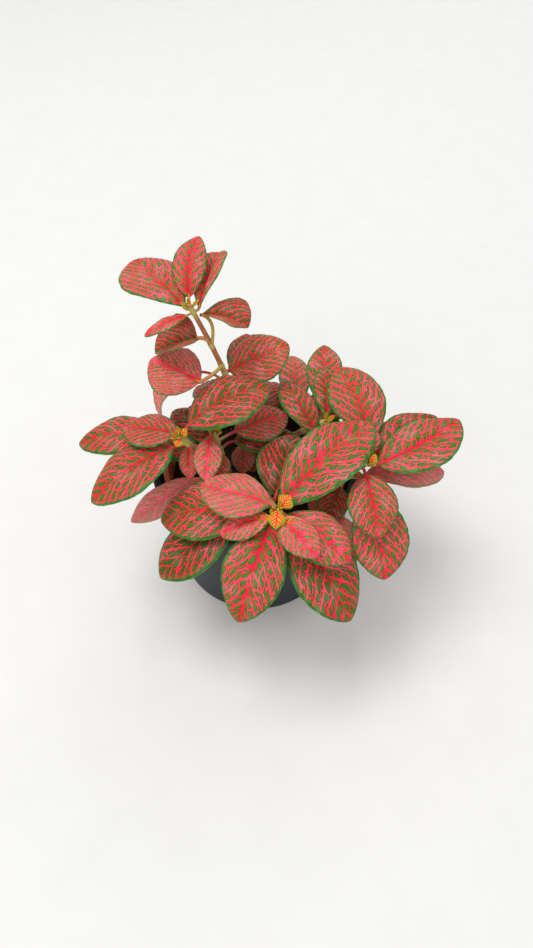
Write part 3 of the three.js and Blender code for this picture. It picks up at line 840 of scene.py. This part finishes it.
        # The veins lie a little below the islands, which have a fine grain.
        grain = self.times(self.noise(self.where, 7, 2), 0.22)
        pebbles = self.times(self.noise(self.where, 2.2, 1), 0.3)
        relief = self.plus(self.minus(1, veins), self.plus(grain, pebbles))
        bump = self.bump(relief, 0.36, 0.85)
        roughness = self.lerp(self.noise(self.where, 1.2), 0.36, 0.52)
        return self.finish(colour, roughness, Normal=bump, Specular_IOR_Level=0.11)


def petiole_material():
    """Streaked stalks, yellow-green to brown at the stem and red at the blades of grown leaves."""
    s = Shader("nerve_petiole")
    around, along, _ = s.uv("vein")
    share, age, seed, _ = s.facts()
    streaks = s.noise(s.vector(s.times(around, 2.6), s.times(along, 0.25), seed), 1, 3)
    foot = s.between(age, "stalk")
    end = s.between(s.step(age, 0, 0.35), "stalk_end")
    colour = s.blend(s.step(share, 0.1, 0.72), foot, end)
    colour = s.coat(colour, ("stalk_streak", streaks, 0.4))
    bump, roughness = s.bump(streaks, 0.1), s.lerp(streaks, 0.42, 0.6)
    return s.finish(colour, roughness, Normal=bump, Subsurface_Weight=0.08, Subsurface_Scale=MM)


def stem_material():
    """Streaked brown, darker at the soil, green at the nodes and the growing tip, with pale hairs."""
    s = Shader("nerve_stem")
    around, along, _ = s.uv("vein")
    swell, height, to_tip, _ = s.facts()
    streaks = s.noise(s.vector(s.times(around, 1.6), s.times(along, 0.16)), 1, 4)
    fresh = s.math("MAXIMUM", s.step(swell, 0.2, 0.95), s.step(to_tip, 8, 2.5))
    colour = s.coat(
        s.between(s.step(streaks, 0.3, 0.7), "stem"),
        ("stem_foot", s.step(height, SOIL_TOP + 6, SOIL_TOP), 1),
        ("stem_node", fresh, 0.9),
        ("stem_hair", s.step(swell, 1.2, 1.8), 1),
    )
    bump, roughness = s.bump(streaks, 0.18), s.lerp(streaks, 0.45, 0.65)
    return s.finish(colour, roughness, Normal=bump, Subsurface_Weight=0.05, Subsurface_Scale=MM)


def cover_material():
    """Smooth dark charcoal, with dust at the foot and a worn lip. Heights are in metres here."""
    s = Shader("charcoal_pot")
    place = s.place()
    height = s.parts(place)[2]
    cloud = s.noise(place, 22, 4)
    dust = s.times(s.step(s.noise(place, 300, 5, 0.7), 0.58, 0.75), s.step(height, 0.03, 0))
    worn = s.times(s.step(height, 0.0738, 0.0752), s.step(s.noise(place, 420, 3), 0.5, 0.7))
    colour = s.coat(s.between(cloud, "charcoal"), ("dust", dust, 0.25), ("worn_lip", worn, 0.22))
    bump = s.bump(s.noise(place, 1400, 2), 0.05, 0.35)
    return s.finish(colour, s.lerp(cloud, 0.4, 0.54), Normal=bump, Specular_IOR_Level=0.22)


def nursery_material():
    """Terracotta-coloured plastic, mottled, with fine scratches and a little peat near its rim."""
    s = Shader("terracotta_plastic")
    place = s.place()
    across, deep, height = s.parts(place)
    mottle = s.noise(place, 60, 4)
    stretched = s.vector(s.times(across, 900), s.times(deep, 900), s.times(height, 60))
    scratch = s.noise(stretched, 1, 2)
    smear = s.times(s.step(s.noise(place, 150, 5, 0.65), 0.5, 0.68), s.step(height, 0.0745, 0.068))
    colour = s.coat(
        s.between(mottle, "terracotta"),
        ("scratch", s.step(scratch, 0.6, 0.72), 0.3),
        ("peat_smear", smear, 0.7),
    )
    bump = s.bump(scratch, 0.06, 0.5)
    return s.finish(colour, s.lerp(mottle, 0.42, 0.6), Normal=bump, Specular_IOR_Level=0.45)


def soil_material():
    """Near-black peat with brown grit, browner crumbs and pale grains."""
    s = Shader("peat")
    place = s.place()
    clod = s.noise(place, 90, 5, 0.65)
    grit = s.noise(place, 900, 4, 0.7)
    tone, grain, _, _ = s.facts()
    colour = s.coat(
        s.between(clod, "peat"),
        ("peat_grit", s.step(grit, 0.62, 0.76), 1),
        ("peat_crumb", tone, 0.6),
        ("pale_grain", s.step(grain, 0.4, 0.6), 1),
    )
    bump = s.bump(s.plus(clod, s.times(grit, 0.5)), 0.7, 0.9)
    return s.finish(colour, s.lerp(grit, 0.85, 1), Normal=bump, Specular_IOR_Level=0.25)


# The pots and the soil

# The cover pot: height, outer radii, wall and floor, and the radii of its rounded corners.
COVER_HEIGHT = 76
COVER_RIM = 50.5
COVER_FOOT = 41.5
COVER_WALL = 3.6
COVER_FLOOR = 4
COVER_ROUNDS = {"foot": 1.8, "outer": 1.5, "inner": 1.2, "floor": 3}

# The nursery pot: lowest and highest point, outer radii, wall, floor, lip, corners and drain holes.
NURSERY_LOW = 4.3
NURSERY_TOP = 75.5
NURSERY_RIM = 45
NURSERY_FOOT = 33
NURSERY_WALL = 1.4
NURSERY_FLOOR = 1.6
NURSERY_LIP = 7
NURSERY_STEP = 1.2
NURSERY_ROUNDS = {"foot": 1, "outer": 0.7, "inner": 0.5}
LIP_CHAMFER = 0.3
DRAIN_COUNT = 5
DRAIN_RADIUS = 3
DRAIN_CIRCLE = 22
DRAIN_DEPTH = 6

# The peat: its gaps to the pot's wall and floor, the mesh of its top, and what lies on it.
PEAT_WALL_GAP = 0.6
PEAT_FLOOR_GAP = 0.3
PEAT_SIDES = 180
PEAT_RINGS = 46
PEAT_WALL_RINGS = 6
PEAT_CENTRE = 0.02
CRUMB_COUNT = 900
PALE_EVERY = 45
FIBRE_EVERY = 9
CRUMB_SIZES = (0.3, 1.15)
PALE_SIZES = (0.5, 0.9)
CRUMB_SIDES = 7
CRUMB_BANDS = 5


def polar(radius, turn):
    return radius * math.cos(turn), radius * math.sin(turn)


def arc(centre, radius, start, end, count=7):
    """Points of a rounded corner in the plane of radius and height."""
    turns = [math.radians(start + (end - start) * i / (count - 1)) for i in range(count)]
    return [(centre[0] + radius * math.cos(a), centre[1] + radius * math.sin(a)) for a in turns]


def stretch(first, last, count):
    """Evenly spaced points between two points, without the first and the last."""
    return [tuple(np.array(first) + (np.array(last) - np.array(first)) * i / count) for i in range(1, count)]


def disc(z, *radii):
    """Points at one height."""
    return [(radius, z) for radius in radii]


def turned(name, profile, material, sides=160):
    """A closed body turned about the Z axis. The profile starts and ends on the axis."""
    points = [(0, 0, profile[0][1])]
    for radius, z in profile[1:-1]:
        points += [(*polar(radius, FULL_TURN * i / sides), z) for i in range(sides)]
    points.append((0, 0, profile[-1][1]))
    last = len(points) - 1
    last_ring = last - sides
    faces = []
    for i in range(sides):
        j = (i + 1) % sides
        faces.append((0, 1 + j, 1 + i))
        faces.append((last_ring + i, last_ring + j, last))
        for low in range(1, last_ring, sides):
            high = low + sides
            faces.append((low + i, low + j, high + j, high + i))
    mesh = bpy.data.meshes.new(name)
    mesh.from_pydata([Vector(p) * MM for p in points], [], faces)
    mesh.materials.append(material)
    return link(name, mesh)


def shade(made, angle=32):
    """Smooth shading that keeps corners sharper than the angle."""
    made.data.polygons.foreach_set("use_smooth", np.ones(len(made.data.polygons), bool))
    made.data.set_sharp_from_angle(angle=math.radians(angle))


def cover_inside(z):
    """The cover pot's inner radius at a height."""
    return COVER_FOOT + (COVER_RIM - COVER_FOOT) * z / COVER_HEIGHT - COVER_WALL


def cover_pot(material):
    low, outer, inner, deep = COVER_ROUNDS.values()
    foot = arc((COVER_FOOT - low, low), low, -90, 0)
    lip_out = arc((COVER_RIM - outer, COVER_HEIGHT - outer), outer, 0, 90)
    lip_in = arc((COVER_RIM - COVER_WALL + inner, COVER_HEIGHT - inner), inner, 90, 180)
    corner = COVER_FLOOR + deep
    profile = disc(0, 0, 12, 26) + foot
    profile += stretch(foot[-1], lip_out[0], 14)
    profile += lip_out + lip_in
    profile += stretch(lip_in[-1], (cover_inside(corner), corner), 12)
    profile += arc((cover_inside(COVER_FLOOR) - deep, corner), deep, 0, -90)
    profile += disc(COVER_FLOOR, 24, 0)
    made = turned("cover_pot_shell", profile, material)
    shade(made)
    return made


def nursery_outer(z):
    """The nursery pot's outer radius below its lip, at a height."""
    spread = NURSERY_RIM - NURSERY_STEP - NURSERY_FOOT
    return NURSERY_FOOT + spread * (z - NURSERY_LOW) / (NURSERY_TOP - NURSERY_LOW)


def nursery_pot(material):
    low, outer, inner = NURSERY_ROUNDS.values()
    lip_foot = NURSERY_TOP - NURSERY_LIP
    wall_top = nursery_outer(NURSERY_TOP) - NURSERY_WALL
    floor = NURSERY_LOW + NURSERY_FLOOR
    profile = disc(NURSERY_LOW, 0, 14, 28)
    profile += arc((NURSERY_FOOT - low, NURSERY_LOW + low), low, -90, 0, 5)
    profile += stretch((NURSERY_FOOT, NURSERY_LOW + low), (nursery_outer(lip_foot), lip_foot), 10)
    profile += disc(lip_foot, nursery_outer(lip_foot), NURSERY_RIM - LIP_CHAMFER)
    profile += disc(lip_foot + LIP_CHAMFER, NURSERY_RIM)
    profile += arc((NURSERY_RIM - outer, NURSERY_TOP - outer), outer, 0, 90, 5)
    profile += arc((wall_top + inner, NURSERY_TOP - inner), inner, 90, 180, 5)
    profile += stretch((wall_top, NURSERY_TOP - inner), (NURSERY_FOOT - NURSERY_WALL, floor), 12)
    profile += disc(floor, NURSERY_FOOT - NURSERY_WALL, 28, 14, 0)
    made = turned("nursery_pot_shell", profile, material)
    for i in range(DRAIN_COUNT):
        drill(made, *polar(DRAIN_CIRCLE, FULL_TURN * i / DRAIN_COUNT))
    shade(made)
    return made


def drill(made, x, y):
    """Cuts a drain hole along Z through the nursery pot's floor."""
    place = Vector((x, y, NURSERY_LOW)) * MM
    bpy.ops.mesh.primitive_cylinder_add(
        vertices=32, radius=DRAIN_RADIUS * MM, depth=DRAIN_DEPTH * MM, location=place
    )
    cutter = bpy.context.object
    cut = made.modifiers.new("hole", "BOOLEAN")
    cut.operation = "DIFFERENCE"
    cut.solver = "EXACT"
    cut.object = cutter
    bpy.context.view_layer.update()
    shape = bpy.data.meshes.new_from_object(made.evaluated_get(bpy.context.evaluated_depsgraph_get()))
    made.modifiers.clear()
    made.data = shape
    bpy.data.objects.remove(cutter)


def peat_height(x, y):
    """How far the rough top of the peat stands above its mean height."""
    coarse = noise.noise(Vector((x * 0.09, y * 0.09, 3.0)))
    fine = noise.fractal(Vector((x * 0.35, y * 0.35, 8.0)), 0.8, 2.1, 4)
    return 1.1 * coarse + 0.75 * fine


def peat_radius(z):
    return nursery_outer(z) - NURSERY_WALL - PEAT_WALL_GAP


def soil(material):
    """Peat: an uneven top with loose crumbs, a few pale grains and the plug's side below it."""
    skin = Skin()
    low = NURSERY_LOW + NURSERY_FLOOR + PEAT_FLOOR_GAP
    heights = [low + (SOIL_TOP - low) * k / PEAT_WALL_RINGS for k in range(PEAT_WALL_RINGS)]
    edge = peat_radius(SOIL_TOP)
    rings = [(PEAT_CENTRE, low, False)]
    rings += [(peat_radius(z), z, False) for z in heights]
    rings += [(edge * (1 - k / PEAT_RINGS), SOIL_TOP, True) for k in range(PEAT_RINGS)]
    rings += [(PEAT_CENTRE, SOIL_TOP, True)]
    points = []
    for radius, z, rough in rings:
        for i in range(PEAT_SIDES):
            x, y = polar(radius, FULL_TURN * i / PEAT_SIDES)
            points.append((x, y, z + (peat_height(x, y) if rough else 0)))
    faces, _ = grid_faces(len(rings), PEAT_SIDES, closed=True)
    add_peat(skin, points, faces, (0, 0, 0, 0))
    rng = random.Random("peat")
    for number in range(CRUMB_COUNT):
        crumb(skin, rng, edge - 2, number)
    return skin.make("peat_surface", [material])


def add_peat(skin, points, faces, facts):
    """Adds a piece of peat with the same facts all over. Its material reads no map."""
    no_map = np.zeros((len(faces), 4, 2))
    skin.add(np.array(points), np.tile(facts, (len(points), 1)), faces, no_map, no_map, 0)


def crumb(skin, rng, reach, number):
    """A loose lump, a bit of fibre or a pale grain, lying on the soil."""
    radius = reach * math.sqrt(rng.random())
    x, y = polar(radius, rng.uniform(0, FULL_TURN))
    pale = number % PALE_EVERY == 0
    size = rng.uniform(*(PALE_SIZES if pale else CRUMB_SIZES))
    if number % FIBRE_EVERY == 0 and not pale:
        form = (rng.uniform(2.5, 6), 0.22, 0.2)
    else:
        form = (rng.uniform(0.8, 1.5), 1, rng.uniform(0.6, 0.9))
    spin = Euler((rng.uniform(-0.4, 0.4), rng.uniform(-0.35, 0.35), rng.uniform(0, 6.3))).to_matrix()
    middle = Vector((x, y, SOIL_TOP + peat_height(x, y) + 0.25 * size))
    points = []
    for band in range(CRUMB_BANDS):
        tilt = math.pi * (0.06 + 0.88 * band / (CRUMB_BANDS - 1))
        for i in range(CRUMB_SIDES):
            a = FULL_TURN * (i + 0.5 * (band % 2)) / CRUMB_SIDES
            bulge = size * rng.uniform(0.8, 1.15)
            round_point = (math.sin(tilt) * math.cos(a), math.sin(tilt) * math.sin(a), math.cos(tilt))
            local = Vector([part * share for part, share in zip(round_point, form)]) * bulge
            points.append(tuple(spin @ local + middle))
    faces, _ = grid_faces(CRUMB_BANDS, CRUMB_SIDES, closed=True)
    facts = (0, 1, 0, 1) if pale else (rng.uniform(0, 1), 0, 0, 1)
    add_peat(skin, points, faces[:, ::-1], facts)


# Putting it together

def settle(piece, node):
    """A finished piece stands for its CAD node and rides on the one body."""
    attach(piece, "root")
    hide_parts(node)


def plant():
    leaf_look, stalk_look, stem_look = LeafShader().build(), petiole_material(), stem_material()
    for name, (shoot, leaves) in SHOOTS.items():
        node = "shoot_" + name
        rng = random.Random("leaves of " + name)
        settle(stem(name + "_stem", shoot, leaves, stem_look), node)
        tip = Skin()
        growing_tip(tip, rng, shoot)
        settle(tip.make(name + "_growing_tip", [leaf_look]), node)
        for number, leaf in enumerate(leaves, 1):
            seed = rng.random()
            skin = Skin()
            blade(skin, leaf, seed, SMALL_GRID if leaf.width < SMALL_WIDTH else BLADE_GRID)
            petiole(skin, shoot, leaf, seed)
            settle(skin.make(f"{name}_leaf_{number:02d}", [leaf_look, stalk_look]), node)


# The studio, in metres: each light's name, place, size and power, what they aim at, the floor and the sky.
LIGHTS = (
    ("key", (-0.55, 0, 1.9), 1, 26),
    ("fill", (-0.5, -1.7, 1.1), 1.8, 13),
    ("rim", (0.6, 1.5, 1.1), 1, 6.4),
)
LIGHT_AIM = (0, 0, 0.08)
FLOOR_SIZE = 8
SKY_COLOUR = (0.93, 0.96, 1, 1)
SKY_STRENGTH = 0.74


def studio():
    """A plain pale floor, three soft lights and a pale sky."""
    look = Shader("pale_floor")
    speck = look.noise(look.place(), 40, 3)
    look.finish(look.between(speck, "floor"), 0.7)
    bpy.ops.mesh.primitive_plane_add(size=FLOOR_SIZE, location=(0, 0, 0))
    floor = bpy.context.object
    floor.name = "floor"
    floor.data.materials.append(look.material)

    for name, place, size, power in LIGHTS:
        lamp = bpy.data.lights.new(name, "AREA")
        lamp.size = size
        lamp.energy = power
        light = link(name, lamp)
        light.location = place
        aim = Vector(LIGHT_AIM) - Vector(place)
        light.rotation_euler = aim.to_track_quat("-Z", "Y").to_euler()

    world = bpy.data.worlds.new("studio")
    world.use_nodes = True
    sky = world.node_tree.nodes["Background"]
    sky.inputs["Color"].default_value = SKY_COLOUR
    sky.inputs["Strength"].default_value = SKY_STRENGTH
    bpy.context.scene.world = world
    bpy.context.scene.view_settings.view_transform = "Standard"


# The photograph's camera.
PHOTO_HEIGHT = 948
FOCAL_PIXELS = 712
SENSOR_WIDTH = 36
CAMERA_PLACE = (5.4, -224.6, 341.5)
CAMERA_PITCH = 51


def camera():
    data = bpy.data.cameras.new("camera")
    data.sensor_fit = "AUTO"
    data.sensor_width = SENSOR_WIDTH
    data.lens = SENSOR_WIDTH * FOCAL_PIXELS / PHOTO_HEIGHT
    data.clip_start = 0.01
    made = link("camera", data)
    made.location = Vector(CAMERA_PLACE) * MM
    made.rotation_euler = (math.radians(90 - CAMERA_PITCH), 0, 0)
    bpy.context.scene.camera = made


camera()
studio()
plant()
settle(cover_pot(cover_material()), "cover_pot")
settle(nursery_pot(nursery_material()), "nursery_pot")
settle(soil(soil_material()), "soil")
